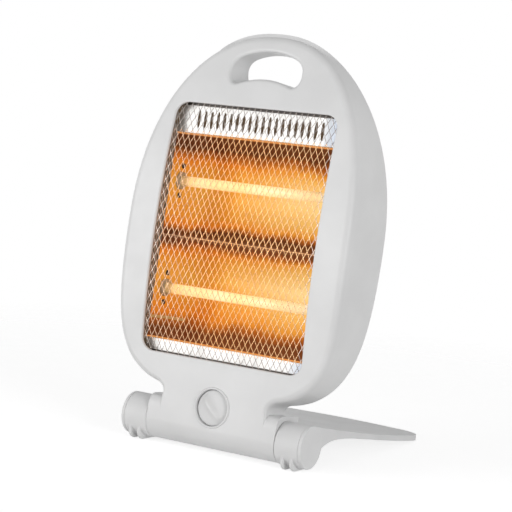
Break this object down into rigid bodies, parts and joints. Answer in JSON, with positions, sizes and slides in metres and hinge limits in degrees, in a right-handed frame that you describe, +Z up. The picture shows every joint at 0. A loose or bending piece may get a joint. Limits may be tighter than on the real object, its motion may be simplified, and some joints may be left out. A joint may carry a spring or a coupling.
{
  "type": "halogen heater",
  "caption": "Free-standing halogen heater: leaning egg-shaped shell with carrying hole, chrome mesh over a troughed reflector with quartz tubes, selector knob, and a wide folding foot.",
  "frame": {"origin": "centre of the bounding box's bottom face, on the floor", "axes": "+Z up, the grille faces -Y and leans back by 6.1 degrees, the foot reaches back towards +Y, +X is the right side as seen from the front"},
  "size_m": [0.252, 0.29, 0.4007],
  "materials": {
    "shell_plastic": "satin moulded plastic, pale grey-white",
    "foot_plastic": "satin moulded plastic, pale grey-white",
    "knob_plastic": "fine moulded grain",
    "bush_plastic": "plain moulded",
    "switch_plastic": "plain moulded",
    "chrome_wire": "bright plated",
    "reflector_sheet": "polished",
    "quartz_glass": "clear tube",
    "heating_wire": "glowing resistance wire",
    "ceramic": "unglazed",
    "steel": "zinc plated"
  },
  "bodies": {
    "foot": {"foot_stand": "foot_plastic", "left_end_cap": "foot_plastic", "right_end_cap": "foot_plastic"},
    "heater": {"front_housing": "shell_plastic", "rear_cover": "shell_plastic", "grille": "chrome_wire", "reflector": "reflector_sheet", "reflector_end_left": "reflector_sheet", "reflector_end_right": "reflector_sheet", "upper_quartz_tube": "quartz_glass", "upper_heating_coil": "heating_wire", "upper_left_ceramic": "ceramic", "upper_left_ceramic_screw_low": "steel", "upper_left_ceramic_screw_high": "steel", "upper_right_ceramic": "ceramic", "upper_right_ceramic_screw_low": "steel", "upper_right_ceramic_screw_high": "steel", "lower_quartz_tube": "quartz_glass", "lower_heating_coil": "heating_wire", "lower_left_ceramic": "ceramic", "lower_left_ceramic_screw_low": "steel", "lower_left_ceramic_screw_high": "steel", "lower_right_ceramic": "ceramic", "lower_right_ceramic_screw_low": "steel", "lower_right_ceramic_screw_high": "steel", "selector_switch": "switch_plastic", "terminal_block": "ceramic", "tilt_switch": "switch_plastic", "thermal_cutout": "steel", "cord_inlet": "shell_plastic", "cover_screw_1": "steel", "cover_screw_2": "steel", "cover_screw_3": "steel", "cover_screw_4": "steel", "cover_screw_5": "steel", "cover_screw_6": "steel", "reflector_screw_1": "steel", "reflector_screw_2": "steel", "reflector_screw_3": "steel", "reflector_screw_4": "steel", "left_pivot_bush": "bush_plastic", "left_pivot_nut": "steel", "left_pivot_screw": "steel", "right_pivot_bush": "bush_plastic", "right_pivot_nut": "steel", "right_pivot_screw": "steel"},
    "knob": {"control_knob": "knob_plastic", "switch_shaft": "steel"}
  },
  "joints": [
    {"name": "stand_tilt", "type": "hinge", "parent": "foot", "child": "heater", "pos_m": [0, -0.12091, 0.0226], "axis": [-1, 0, 0], "range_deg": [-6, 40]},
    {"name": "knob_turn", "type": "hinge", "parent": "heater", "child": "knob", "pos_m": [0, -0.13864, 0.04491], "axis": [0, -0.9943, 0.1063], "range_deg": [0, 90]}
  ]
}
